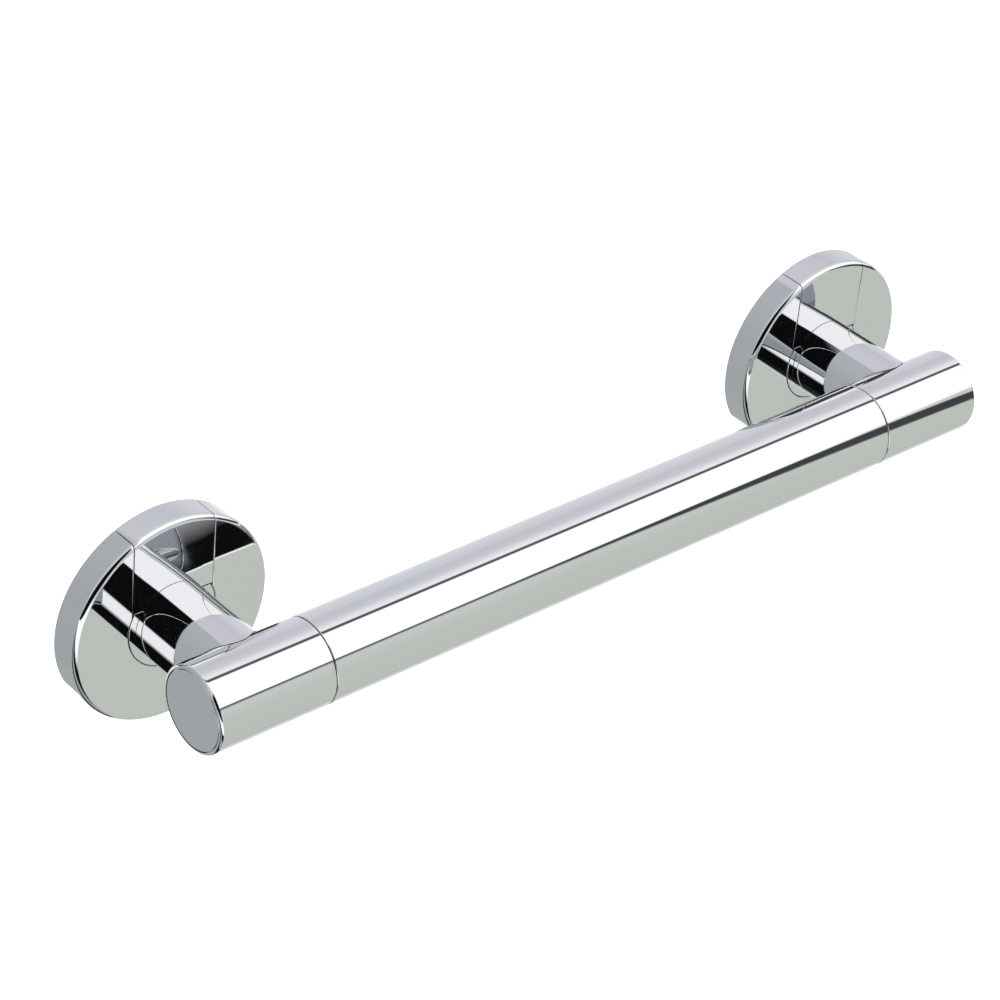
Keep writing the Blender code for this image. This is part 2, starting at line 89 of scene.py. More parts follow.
rail_low, rail_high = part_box("rail_tube")
RAIL_RADIUS = (rail_high.z - rail_low.z) / 2
RAIL_OUT = -middle(rail_low.y, rail_high.y)
RAIL_HALF = rail_high.x
cap_low, cap_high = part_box("right_end_cap")
BAR_END = cap_high.x
CAP_RADIUS = cap_high.z
cover_low, cover_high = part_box("right_flange_cover")
HEAD_ACROSS = middle(cover_low.x, cover_high.x)
COVER_RADIUS = (cover_high.x - cover_low.x) / 2
COVER_FACE = -cover_low.y
COVER_BACK = -cover_high.y
sleeve_low, sleeve_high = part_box("right_end_sleeve")
SLEEVE_START = sleeve_low.x
post_low, post_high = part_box("right_post")
POST_RADIUS = (post_high.x - post_low.x) / 2
SPIGOT_END = -post_high.y
lever_low, lever_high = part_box("right_release_lever")
LEVER_HALF = (lever_high.x - lever_low.x) / 2
pin_low, pin_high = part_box("right_lever_pin_outer")
HINGE_UP = middle(pin_low.z, pin_high.z)
HINGE_OUT = -middle(pin_low.y, pin_high.y)
ring_low, ring_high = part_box("right_post_collar")
RING_RADIUS = (ring_high.x - ring_low.x) / 2
RING_TOP = ring_high.z
cup_low, cup_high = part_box("right_suction_cup")
CUP_RADIUS = (cup_high.x - cup_low.x) / 2

SEAM = 0.3 * MM
SEAM_ROUND = 0.35 * MM
RAIL_WALL = 1.5 * MM
SLEEVE_BORE = 13.0 * MM
CAP_DEPTH = 2.0 * MM
END_ROUND = 1.3 * MM
EDGE_ROUND = 2.0 * MM
COVER_WALL = 1.4 * MM
RIM_WALL = 1.6 * MM
COLLAR_HOLE = 18.0 * MM
SLOT_HALF = 16.5 * MM
SPIGOT_RADIUS = 12.5 * MM
POST_BORE = 9.2 * MM
POST_BORE_END = 31.5 * MM
LEVER_FOOT_UP = 9.2 * MM
LEVER_ARCH = 14.0 * MM
KNUCKLE_RADIUS = 1.6 * MM
PIN_HOLE = 0.85 * MM
CAM_THROW = 4.0 * MM
CAM_LEAD = math.radians(17.0)
CHEEK_ACROSS = (11.2 * MM, 13.0 * MM)
KNUCKLE_END_GAP = 0.15 * MM
KNUCKLE_TRIM = 0.2 * MM
PIN_HOLE_HALF = 20 * MM
ARCH_DEPTH = 3 * MM
BOLT_HOLE_RADIUS = 3.3 * MM
BOLT_HOLE_SEAT = 4 * MM
POST_BOLT_RADIUS = 3.1 * MM
POST_BOLT_END = 45 * MM
SADDLE_HALF = 30 * MM
GRUB_HOLE_TOP = 9 * MM
GRUB_PLAY = 0.1 * MM
SOCKET_RADIUS = 1.3 * MM
SOCKET_DEPTH = 1.6 * MM
PLUG_LENGTH = 5 * MM
PLUG_WALL = 2 * MM
PLUG_HOLLOW = 4 * MM
CUP_LIP = 1.6 * MM
SPRING_WIRE = 0.6 * MM
SPRING_TURNS = 4
SPRING_STEPS = 48

# Working measures: points this close lie on one plane, a cutter runs this far past what it cuts,
# and an ordinary sharp edge is broken this wide.
SAME_PLANE = 0.01 * MM
OVERSHOOT = 2 * MM
EDGE_BREAK = 0.12 * MM
SHARP_ANGLE = math.radians(35.0)


# ---------------------------------------------------------------- hand tools

def deselect_all():
    if bpy.context.mode != "OBJECT":
        bpy.ops.object.mode_set(mode="OBJECT")
    bpy.ops.object.select_all(action="DESELECT")


def take(piece):
    """Select one piece alone and make it the active one."""
    deselect_all()
    piece.select_set(True)
    bpy.context.view_layer.objects.active = piece


def settle_place(piece):
    """Move the object's place, turn and scale into its mesh."""
    take(piece)
    bpy.ops.object.transform_apply(location=True, rotation=True, scale=True)


def new_rod(name, start, end, radius, sides):
    """A cylinder between two points with flat ends, its place kept in its mesh."""
    deselect_all()
    start, end = Vector(start), Vector(end)
    reach = end - start
    turn = reach.to_track_quat("Z", "Y").to_euler()
    bpy.ops.mesh.primitive_cylinder_add(
        vertices=sides, radius=radius, depth=reach.length, location=middle(start, end), rotation=turn
    )
    rod = bpy.context.active_object
    rod.name = rod.data.name = name
    settle_place(rod)
    return rod


def new_block(name, low, high):
    deselect_all()
    low, high = Vector(low), Vector(high)
    bpy.ops.mesh.primitive_cube_add(size=1.0, location=middle(low, high), scale=high - low)
    block = bpy.context.active_object
    block.name = block.data.name = name
    settle_place(block)
    return block


def pick_faces(piece, test):
    """Enter edit mode with only the faces selected for which test(centre, normal) holds."""
    take(piece)
    bpy.ops.object.mode_set(mode="EDIT")
    bpy.ops.mesh.select_mode(type="FACE")
    bpy.ops.mesh.select_all(action="DESELECT")
    cage = bmesh.from_edit_mesh(piece.data)
    for face in cage.faces:
        face.select_set(test(face.calc_center_median(), face.normal))
    cage.select_flush_mode()
    bmesh.update_edit_mesh(piece.data)


def pick_edges(piece, test):
    """Enter edit mode with only the edges selected for which test(first end, second end) holds."""
    take(piece)
    bpy.ops.object.mode_set(mode="EDIT")
    bpy.ops.mesh.select_mode(type="EDGE")
    bpy.ops.mesh.select_all(action="DESELECT")
    cage = bmesh.from_edit_mesh(piece.data)
    for edge in cage.edges:
        edge.select_set(test(edge.verts[0].co, edge.verts[1].co))
    bmesh.update_edit_mesh(piece.data)


def edit_whole(piece):
    """Enter edit mode with everything selected."""
    take(piece)
    bpy.ops.object.mode_set(mode="EDIT")
    bpy.ops.mesh.select_all(action="SELECT")


def done_editing():
    bpy.ops.object.mode_set(mode="OBJECT")


def inset(thickness):
    bpy.ops.mesh.inset(thickness=thickness, use_even_offset=True)


def push(offset):
    bpy.ops.mesh.extrude_region_move(TRANSFORM_OT_translate={"value": offset})


def apply_all(piece):
    take(piece)
    for modifier in list(piece.modifiers):
        bpy.ops.object.modifier_apply(modifier=modifier.name)


def combine(piece, tool, operation):
    """Cut, join or intersect a piece with a tool, and throw the tool away."""
    modifier = piece.modifiers.new("tool", "BOOLEAN")
    modifier.object = tool
    modifier.operation = operation
    modifier.solver = "EXACT"
    apply_all(piece)
    bpy.data.objects.remove(tool, do_unlink=True)


def cut(piece, *tools):
    for tool in tools:
        combine(piece, tool, "DIFFERENCE")


def soften(piece, width, segments=3):
    """Break every sharp edge with a narrow round, and shade the surfaces between them."""
    take(piece)
    bpy.ops.object.shade_smooth()
    modifier = piece.modifiers.new("broken edges", "BEVEL")
    modifier.width = width
    modifier.segments = segments
    modifier.limit_method = "ANGLE"
    modifier.angle_limit = SHARP_ANGLE
    modifier.harden_normals = True
    modifier.use_clamp_overlap = True
    apply_all(piece)


def round_edges(piece, width, test):
    """A hand-filed round along chosen edges."""
    pick_edges(piece, test)
    bpy.ops.mesh.bevel(offset=width, segments=3, profile=0.5, affect="EDGES", clamp_overlap=False)
    done_editing()


def even_shading(piece):
    """Let the broad faces keep their flatness right up to their rounded edges."""
    modifier = piece.modifiers.new("even shading", "WEIGHTED_NORMAL")
    modifier.weight = 100
    apply_all(piece)


def copy_of(piece, name, across=0.0):
    """A copy with its own mesh, moved along the bar."""
    twin = piece.copy()
    twin.data = piece.data.copy()
    bpy.context.scene.collection.objects.link(twin)
    twin.name = twin.data.name = name
    twin.location.x += across
    settle_place(twin)
    return twin


def mirror_of(piece, name, shade_again):
    """The other hand of a piece, about the plane midway between the heads.

    Its even shading is made anew if asked.
    """
    twin = copy_of(piece, name)
    twin.scale.x = -1
    settle_place(twin)
    edit_whole(twin)
    bpy.ops.mesh.normals_make_consistent(inside=False)
    done_editing()
    if shade_again:
        bpy.ops.mesh.customdata_custom_splitnormals_clear()
        even_shading(twin)
    return twin


def put_to_use(piece, material, slot, body, *nodes):
    """Give a finished piece its finish, its body and the nodes that it stands for."""
    piece.data.materials.clear()
    piece.data.materials.append(material)
    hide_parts(*nodes)
    if body:
        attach(piece, body)


# ---------------------------------------------------------------- finishes

class Wire:
    """A node's output that adds Math nodes when it is used in arithmetic."""

    def __init__(self, finish, socket):
        self.finish = finish
        self.socket = socket

    def maths(self, operation, *values):
        made = self.finish.node("ShaderNodeMath", {"operation": operation}, dict(enumerate(values)))
        return made["Value"]

    def __add__(self, other):
        return self.maths("ADD", self, other)

    def __radd__(self, other):
        return self.maths("ADD", other, self)

    def __sub__(self, other):
        return self.maths("SUBTRACT", self, other)

    def __rsub__(self, other):
        return self.maths("SUBTRACT", other, self)

    def __mul__(self, other):
        return self.maths("MULTIPLY", self, other)

    def __rmul__(self, other):
        return self.maths("MULTIPLY", other, self)

    def __truediv__(self, other):
        return self.maths("DIVIDE", self, other)

    def __pow__(self, other):
        return self.maths("POWER", self, other)

    def above(self, limit, width):
        """0 below the limit and 1 above it, with a soft step of the given width."""
        made = self.finish.node(
            "ShaderNodeMapRange", {"interpolation_type": "SMOOTHSTEP", "clamp": True},
            {"Value": self, "From Min": limit - width / 2, "From Max": limit + width / 2},
        )
        return made["Result"]


class Outputs:
    """The outputs of one node, each as a Wire."""

    def __init__(self, finish, made):
        self.finish = finish
        self.made = made

    def __getitem__(self, name):
        return Wire(self.finish, self.made.outputs[name])


class Finish:
    """A node tree under construction."""

    def __init__(self, tree):
        self.tree = tree

    def node(self, kind, settings=None, values=None):
        """Add a node: its settings come first, then the values or links of its sockets."""
        made = self.tree.nodes.new(kind)
        for key, value in (settings or {}).items():
            if key == "stops":
                ramp = made.color_ramp
                while len(ramp.elements) < len(value):
                    ramp.elements.new(0.5)
                for element, (place, colour) in zip(ramp.elements, value):
                    element.position = place
                    element.color = colour
            else:
                setattr(made, key, value)
        for key, value in (values or {}).items():
            socket = made.inputs[key]
            if isinstance(value, Wire):
                self.tree.links.new(value.socket, socket)
            else:
                socket.default_value = value
        return Outputs(self, made)

    def blend(self, share, first, second):
        """A colour that goes from the first to the second."""
        made = self.tree.nodes.new("ShaderNodeMix")
        made.data_type = "RGBA"
        for socket, value in ((made.inputs[0], share), (made.inputs[6], first), (made.inputs[7], second)):
            if isinstance(value, Wire):
                self.tree.links.new(value.socket, socket)
            else:
                socket.default_value = value
        return Wire(self, made.outputs[2])

    def noise(self, place, scale, detail=3.0, roughness=0.5):
        made = self.node("ShaderNodeTexNoise", {}, {
            "Vector": place, "Scale": scale, "Detail": detail, "Roughness": roughness})
        return made["Fac"]

    def stretched(self, place, scale, centre=(0, 0, 0)):
        made = self.node("ShaderNodeMapping", {"vector_type": "POINT"}, {
            "Vector": place, "Scale": scale, "Location": [-c * s for c, s in zip(centre, scale)]})
        return made["Vector"]


def new_finish(name, fixed):
    """A material with its Principled shader, whose constant values are set on its own sockets."""
    material = bpy.data.materials.new(name)
    material.use_nodes = True
    finish = Finish(material.node_tree)
    shader = material.node_tree.nodes["Principled BSDF"]
    for key, value in fixed.items():
        shader.inputs[key].default_value = value
    place = finish.node("ShaderNodeTexCoord")["Object"]
    return material, finish, shader, place


def feed(finish, shader, **wires):
    names = {"colour": "Base Color", "roughness": "Roughness", "normal": "Normal"}
    for key, wire in wires.items():
        finish.tree.links.new(wire.socket, shader.inputs[names[key]])


def bumped(finish, height, distance):
    made = finish.node("ShaderNodeBump", {}, {"Height": height, "Distance": distance, "Strength": 1.0})
    return made["Normal"]


def polished_chrome(name, along):
    """Mirror plating: faint tone drift, a breath of haze, hairline polishing marks along one axis."""
    material, finish, shader, place = new_finish(name, {"Metallic": 1.0})
    drift = finish.noise(place, 14.0, 2.0)
    haze = finish.noise(place, 60.0, 5.0, 0.6).above(0.62, 0.3)
    marks_across, marks_along = 900.0, 30.0
    fine = [marks_across] * 3
    fine[along] = marks_along
    hairlines = finish.noise(finish.stretched(place, fine), 1.0, 2.0)
    colour = finish.blend(drift, (0.80, 0.815, 0.83, 1.0), (0.84, 0.845, 0.85, 1.0))
    roughness = 0.022 + haze * 0.03 + hairlines.above(0.66, 0.1) * 0.02
    swell = finish.noise(place, 30.0, 1.0)
    normal = bumped(finish, swell * 0.5 + hairlines * 0.02, 0.00002)
    feed(finish, shader, colour=colour, roughness=roughness, normal=normal)
    return material


def turned_steel(name, centre, bright):
    """Zinc-bright steel with turning marks in rings about a head's axis, and dull handling blooms."""
    material, finish, shader, place = new_finish(name, {"Metallic": 1.0})
    local = finish.stretched(place, (1.0, 1.0, 1.0), centre)
    rings = finish.node("ShaderNodeTexWave", {"wave_type": "RINGS", "rings_direction": "Y"}, {
        "Vector": local, "Scale": 900.0, "Distortion": 1.5, "Detail": 2.0})["Fac"]
    bloom = finish.noise(place, 220.0, 4.0)
    dark = tuple(0.8 * c for c in bright) + (1.0,)
    colour = finish.blend(bloom.above(0.5, 0.4), dark, bright + (1.0,))
    roughness = 0.26 + bloom * 0.16 + rings * 0.05
    feed(finish, shader, colour=colour, roughness=roughness, normal=bumped(finish, rings, 0.00001))
    return material


def spring_wire():
    """Drawn wire: dark steel with draw lines and a thin film of oil."""
    material, finish, shader, place = new_finish("drawn spring wire", {"Metallic": 1.0})
    lines = finish.noise(finish.stretched(place, (700.0, 2600.0, 700.0)), 1.0, 3.0)
    oil = finish.noise(place, 160.0, 3.0)
    colour = finish.blend(lines, (0.30, 0.30, 0.32, 1.0), (0.52, 0.52, 0.54, 1.0))
    roughness = 0.26 + oil * 0.2
    feed(finish, shader, colour=colour, roughness=roughness, normal=bumped(finish, lines, 0.00001))
    return material


def moulded_plastic():
    """Off-white moulded plastic with a fine spark-eroded grain and slight sink marks."""
    material, finish, shader, place = new_finish("moulded housing plastic", {"IOR": 1.5})
    grain = finish.noise(place, 2600.0, 3.0, 0.6)
    sink = finish.noise(place, 55.0, 2.0)
    colour = finish.blend(sink, (0.70, 0.70, 0.67, 1.0), (0.80, 0.80, 0.78, 1.0))
    roughness = 0.42 + grain * 0.16
    feed(
        finish, shader, colour=colour, roughness=roughness,
        normal=bumped(finish, grain * 0.4 + sink, 0.00006),
    )
    return material


def cup_rubber(name, centre):
    """Black rubber: a satin moulded skin with flow rings, a dust bloom and a fine pebble."""
    material, finish, shader, place = new_finish(name, {"IOR": 1.52})
    local = finish.stretched(place, (1.0, 1.0, 1.0), centre)
    rings = finish.node("ShaderNodeTexWave", {"wave_type": "RINGS", "rings_direction": "Y"}, {
        "Vector": local, "Scale": 260.0, "Distortion": 0.6, "Detail": 1.0})["Fac"]
    bloom = finish.noise(place, 90.0, 5.0, 0.65).above(0.56, 0.25)
    pebble = finish.noise(place, 3200.0, 2.0)
    colour = finish.blend(bloom, (0.016, 0.016, 0.018, 1.0), (0.042, 0.042, 0.044, 1.0))
    roughness = 0.38 + bloom * 0.2 + pebble * 0.08
    feed(
        finish, shader, colour=colour, roughness=roughness,
        normal=bumped(finish, rings * 0.35 + pebble * 0.3, 0.00006),
    )
    return material


# ---------------------------------------------------------------- rail, sleeves and end caps

def about_rail(point):
    """Distance from the rail's axis."""
    return math.hypot(point.y + RAIL_OUT, point.z)


def along_rail(name, start, end, radius):
    return new_rod(name, (start, -RAIL_OUT, 0), (end, -RAIL_OUT, 0), radius, FINE_SIDES)


def grub_hole(along):
    low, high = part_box("right_rail_grub_screw")
    radius = (high.x - low.x) / 2 + GRUB_PLAY
    top, bottom = (along, -RAIL_OUT, -GRUB_HOLE_TOP), (along, -RAIL_OUT, -RAIL_RADIUS - OVERSHOOT)
    return new_rod("grub_hole", top, bottom, radius, HOLE_SIDES)


def grub_along(node):
    low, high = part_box(node)
    return middle(low.x, high.x)


def make_rail():
    rail = along_rail("grab_rail", -RAIL_HALF, RAIL_HALF, RAIL_RADIUS)
    pick_faces(rail, lambda centre, normal: abs(normal.x) > 0.9)
    inset(RAIL_WALL)
    bpy.ops.mesh.bridge_edge_loops()
    done_editing()
    for head in HEADS:
        cut(rail, grub_hole(grub_along(head + "_rail_grub_screw")))

    def on_end_rim(a, b):
        at_ends = min(abs(a.x), abs(b.x)) > RAIL_HALF - SAME_PLANE and a.x * b.x > 0
        return at_ends and about_rail(a) > RAIL_RADIUS - MM

    round_edges(rail, SEAM_ROUND, on_end_rim)
    soften(rail, EDGE_BREAK)
    even_shading(rail)
    return rail


def make_sleeve():
    """The right sleeve: a tube with a rounded outer end that is counterbored for its cap."""
    sleeve = along_rail("right_sleeve", SLEEVE_START, BAR_END, RAIL_RADIUS)
    near_end = BAR_END - SAME_PLANE
    pick_edges(sleeve, lambda a, b: a.x > near_end and b.x > near_end)
    bpy.ops.mesh.bevel(offset=END_ROUND, segments=8, profile=0.5, affect="EDGES")
    done_editing()
    flat = RAIL_RADIUS - END_ROUND
    pick_faces(sleeve, lambda centre, normal: normal.x > 0.99 and centre.x > near_end)
    inset(flat - CAP_RADIUS - SEAM)
    push((-CAP_DEPTH, 0, 0))
    inset(CAP_RADIUS + SEAM - SLEEVE_BORE)
    done_editing()
    pick_faces(sleeve, lambda centre, normal: normal.x < -0.99)
    inset(RAIL_RADIUS - SLEEVE_BORE)
    done_editing()
    pick_faces(sleeve, lambda centre, normal: abs(normal.x) > 0.99 and about_rail(centre) < MM)
    bpy.ops.mesh.bridge_edge_loops()
    done_editing()
    back = (HEAD_ACROSS, -RAIL_OUT + SLEEVE_BORE - BOLT_HOLE_SEAT, 0)
    front = (HEAD_ACROSS, -RAIL_OUT + RAIL_RADIUS + OVERSHOOT, 0)
    cut(sleeve, new_rod("bolt_hole", back, front, BOLT_HOLE_RADIUS, HOLE_SIDES))
    cut(sleeve, grub_hole(grub_along("right_sleeve_grub_screw")))

    def on_inner_rim(a, b):
        return max(a.x, b.x) < SLEEVE_START + SAME_PLANE and about_rail(a) > RAIL_RADIUS - MM

    round_edges(sleeve, SEAM_ROUND, on_inner_rim)
    soften(sleeve, EDGE_BREAK)
    even_shading(sleeve)
    return sleeve


def make_end_cap():
    """The right cap: a flat disc on a short hollow plug."""
    back = BAR_END - CAP_DEPTH + SEAM / 2
    plug = SLEEVE_BORE - SEAM / 2
    cap = along_rail("right_cap", back, BAR_END, CAP_RADIUS)
    pick_faces(cap, lambda centre, normal: normal.x < -0.99)
    inset(CAP_RADIUS - plug)
    push((-PLUG_LENGTH, 0, 0))
    inset(PLUG_WALL)
    push((PLUG_HOLLOW, 0, 0))
    done_editing()
    soften(cap, 0.3 * MM, 4)
    return cap


def make_grub_screw():
    """A socket set screw in the rail's underside."""
    low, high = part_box("right_rail_grub_screw")
    x, radius = middle(low.x, high.x), (high.x - low.x) / 2
    screw = new_rod("right_rail_set_screw", (x, -RAIL_OUT, high.z), (x, -RAIL_OUT, low.z), radius, HOLE_SIDES)
    top, bottom = (x, -RAIL_OUT, low.z + SOCKET_DEPTH), (x, -RAIL_OUT, low.z - MM)
    cut(screw, new_rod("socket", top, bottom, SOCKET_RADIUS, 6))
    soften(screw, 0.15 * MM)
    return screw


# ---------------------------------------------------------------- heads

def head_point(across, up, out):
    return (HEAD_ACROSS + across, -out, up)


def about_head(point):
    return math.hypot(point.x - HEAD_ACROSS, point.z)


def head_rod(name, start, end, radius, sides):
    return new_rod(name, head_point(*start), head_point(*end), radius, sides)


def head_block(name, across, up, out):
    return new_block(name, head_point(across[0], up[0], out[1]), head_point(across[1], up[1], out[0]))


def cover_shell(name):
    """The round cover before its slot is cut: a shallow cup with a rounded front edge."""
    shell = head_rod(name, (0, 0, COVER_BACK), (0, 0, COVER_FACE), COVER_RADIUS, FINE_SIDES)
    front = -COVER_FACE + SAME_PLANE
    pick_edges(shell, lambda a, b: a.y < front and b.y < front)
    bpy.ops.mesh.bevel(offset=EDGE_ROUND, segments=10, profile=0.5, affect="EDGES")
    done_editing()
    pick_faces(shell, lambda centre, normal: normal.y > 0.99)
    inset(RIM_WALL)
    push((0, COVER_WALL - COVER_FACE + COVER_BACK, 0))
    done_editing()
    return shell


def on_face(point):
    return abs(point.y + COVER_FACE) < SAME_PLANE


def make_cover():
    cover = cover_shell("right_cover")
    through = (-MM, COVER_FACE + MM)
    hole = head_rod("hole", (0, 0, through[0]), (0, 0, through[1]), COLLAR_HOLE, POST_SIDES)
    slot = head_block("slot", (-SLOT_HALF, SLOT_HALF), (0, COVER_RADIUS + OVERSHOOT), through)
    combine(slot, hole, "UNION")
    cut(cover, slot)

    def on_outline(a, b):
        straight = all(abs(abs(p.x - HEAD_ACROSS) - SLOT_HALF) < SAME_PLANE for p in (a, b))
        arc = all(abs(about_head(p) - COLLAR_HOLE) < 0.05 * MM for p in (a, b))
        return on_face(a) and on_face(b) and (straight or arc)

    round_edges(cover, SEAM_ROUND, on_outline)
    soften(cover, 0.14 * MM)
    even_shading(cover)
    return cover


def make_collar():
    """The flush ring under the post, open where the lever's foot comes down."""
    back, front = COVER_FACE - COVER_WALL, COVER_FACE
    ring = head_rod("right_collar", (0, 0, back), (0, 0, front), RING_RADIUS, POST_SIDES)
    pick_faces(ring, lambda centre, normal: abs(normal.y) > 0.9)
    inset(RING_RADIUS - SPIGOT_RADIUS - SEAM)
    bpy.ops.mesh.bridge_edge_loops()
    done_editing()
    across, up = (-RING_RADIUS - MM, RING_RADIUS + MM), (RING_TOP, RING_RADIUS + MM)
    cut(ring, head_block("gap", across, up, (back - MM, front + MM)))
    soften(ring, EDGE_BREAK)
    return ring


def cam_cheek(name, low, high):
    """A cam cheek: a disc on the hinge axis whose lower half is drawn out to the cam nose."""
    start, end = (low, HINGE_UP, HINGE_OUT), (high, HINGE_UP, HINGE_OUT)
    cheek = head_rod(name, start, end, KNUCKLE_RADIUS, SMALL_SIDES)
    throw = Vector((0, CAM_THROW * math.sin(CAM_LEAD), -CAM_THROW * math.cos(CAM_LEAD)))
    axis = Vector(head_point(0, HINGE_UP, HINGE_OUT))

    def in_lower_half(point):
        return (point - axis).dot(throw) > 0

    pick_edges(cheek, lambda a, b: in_lower_half(a) and in_lower_half(b))
    bpy.ops.transform.translate(value=throw)
    done_editing()
    return cheek


def make_lever():
    """The flush plate above the post, with its hinge knuckles and cam cheeks behind it."""
    lever = cover_shell("right_lever_plate")
    through = (-MM, COVER_FACE + MM)
    across, up = (-LEVER_HALF, LEVER_HALF), (LEVER_FOOT_UP, COVER_RADIUS + OVERSHOOT)
    combine(lever, head_block("outline", across, up, through), "INTERSECT")
    start, end = (0, 0, COVER_FACE - ARCH_DEPTH), (0, 0, COVER_FACE + MM)
    cut(lever, head_rod("arch", start, end, LEVER_ARCH, POST_SIDES))
    for side in (-1, 1):
        inner, outer = CHEEK_ACROSS[0] + KNUCKLE_END_GAP, LEVER_HALF - KNUCKLE_END_GAP
        low, high = sorted((side * inner, side * outer))
        start, end = (low, HINGE_UP, HINGE_OUT), (high, HINGE_UP, HINGE_OUT)
        radius = KNUCKLE_RADIUS - KNUCKLE_TRIM
        combine(lever, head_rod("knuckle", start, end, radius, SMALL_SIDES), "UNION")
        low, high = sorted((side * CHEEK_ACROSS[0], side * CHEEK_ACROSS[1]))
        combine(lever, cam_cheek("cheek", low, high), "UNION")
    start, end = (-PIN_HOLE_HALF, HINGE_UP, HINGE_OUT), (PIN_HOLE_HALF, HINGE_UP, HINGE_OUT)
    cut(lever, head_rod("pin_hole", start, end, PIN_HOLE, SMALL_SIDES))
    soften(lever, EDGE_BREAK)
    return lever


def make_post():
    """The post: a spigot and a bolt bore at the foot, and a saddle against the sleeve."""
    start, end = (0, 0, COVER_FACE + SEAM / 2), (0, 0, RAIL_OUT)
    post = head_rod("right_post_tube", start, end, POST_RADIUS, POST_SIDES)
    pick_faces(post, lambda centre, normal: normal.y > 0.99)
    inset(POST_RADIUS - SPIGOT_RADIUS)
    push((0, COVER_FACE + SEAM / 2 - SPIGOT_END, 0))
    inset(SPIGOT_RADIUS - POST_BORE)
    push((0, SPIGOT_END - POST_BORE_END, 0))
    inset(POST_BORE - POST_BOLT_RADIUS)
    push((0, POST_BORE_END - POST_BOLT_END, 0))
    done_editing()
    start, end = HEAD_ACROSS - SADDLE_HALF, HEAD_ACROSS + SADDLE_HALF
    cut(post, along_rail("saddle", start, end, RAIL_RADIUS + SEAM / 2))
    soften(post, 0.15 * MM)
    return post


def step_inwards(*steps):
    """Inset the selected face in steps, each a width and a rise in millimetres."""
    for width, rise in steps:
        bpy.ops.mesh.inset(thickness=width * MM, depth=rise * MM)


def make_cup():
    """A rubber disc: lip flat on the wall, with sealing ridges, and its crown drawn off the wall."""
    cup = head_rod("right_cup", (0, 0, 0), (0, 0, CUP_LIP), CUP_RADIUS, FINE_SIDES)
    front = -CUP_LIP + SAME_PLANE
    pick_edges(cup, lambda a, b: a.y < front and b.y < front)
    bpy.ops.mesh.bevel(offset=0.6 * MM, segments=4, profile=0.5, affect="EDGES")
    done_editing()
    pick_faces(cup, lambda centre, normal: normal.y < -0.99)
    step_inwards((1.2, 0), (0.5, 0.15), (0.8, 0), (0.5, -0.15), (6.6, 0))
    step_inwards((0.8, 0.2), (6.9, 2.8), (0.8, 0.2), (6.0, 0.0), (0.6, 0.0))
    done_editing()
    pick_faces(cup, lambda centre, normal: normal.y > 0.99)
    for ridge in range(3):
        step_inwards((1.6, 0), (0.35, -0.25), (0.5, 0), (0.35, 0.25))
    inset(1.6 * MM)
    step_inwards((0.8, -0.25), (6.6, -2.55), (0.8, -0.2), (8.0, 0.0), (0.6, -0.12), (2.0, 0.0))
    done_editing()
    take(cup)
    bpy.ops.object.shade_smooth()
    modifier = cup.modifiers.new("soft edges", "BEVEL")
    modifier.width = 0.12 * MM
    modifier.segments = 3
    modifier.limit_method = "ANGLE"
    modifier.angle_limit = math.radians(12.0)
    modifier.use_clamp_overlap = True
    apply_all(cup)
    bpy.ops.object.shade_smooth()
    return cup


def make_spring():
    """A round-wire compression spring about the pull stud."""
    low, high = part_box("right_stud_spring")
    coil = (high.x - low.x) / 2 - SPRING_WIRE
    start, end = -high.y + SPRING_WIRE, -low.y - SPRING_WIRE
    deselect_all()
    bpy.ops.mesh.primitive_circle_add(
        vertices=16, radius=SPRING_WIRE, fill_type="NOTHING", location=head_point(coil, 0, start)
    )
    spring = bpy.context.active_object
    spring.name = spring.data.name = "right_spring"
    settle_place(spring)
    spring.location = head_point(0, 0, 0)
    spring.data.transform(Matrix.Translation(-spring.location))
    turns = spring.modifiers.new("turns", "SCREW")
    turns.axis = "Y"
    turns.angle = 2 * math.pi
    turns.iterations = SPRING_TURNS
    turns.screw_offset = -(end - start) / SPRING_TURNS
    turns.steps = SPRING_STEPS
    turns.render_steps = SPRING_STEPS
    turns.merge_threshold = 0.00001
    apply_all(spring)
    settle_place(spring)
    edit_whole(spring)
    bpy.ops.mesh.remove_doubles(threshold=0.000005)
    bpy.ops.mesh.fill_holes(sides=0)
    bpy.ops.mesh.select_all(action="SELECT")
    bpy.ops.mesh.normals_make_consistent(inside=False)
    done_editing()
    bpy.ops.object.shade_smooth_by_angle(angle=math.radians(50))
    return spring


# ---------------------------------------------------------------- assembly

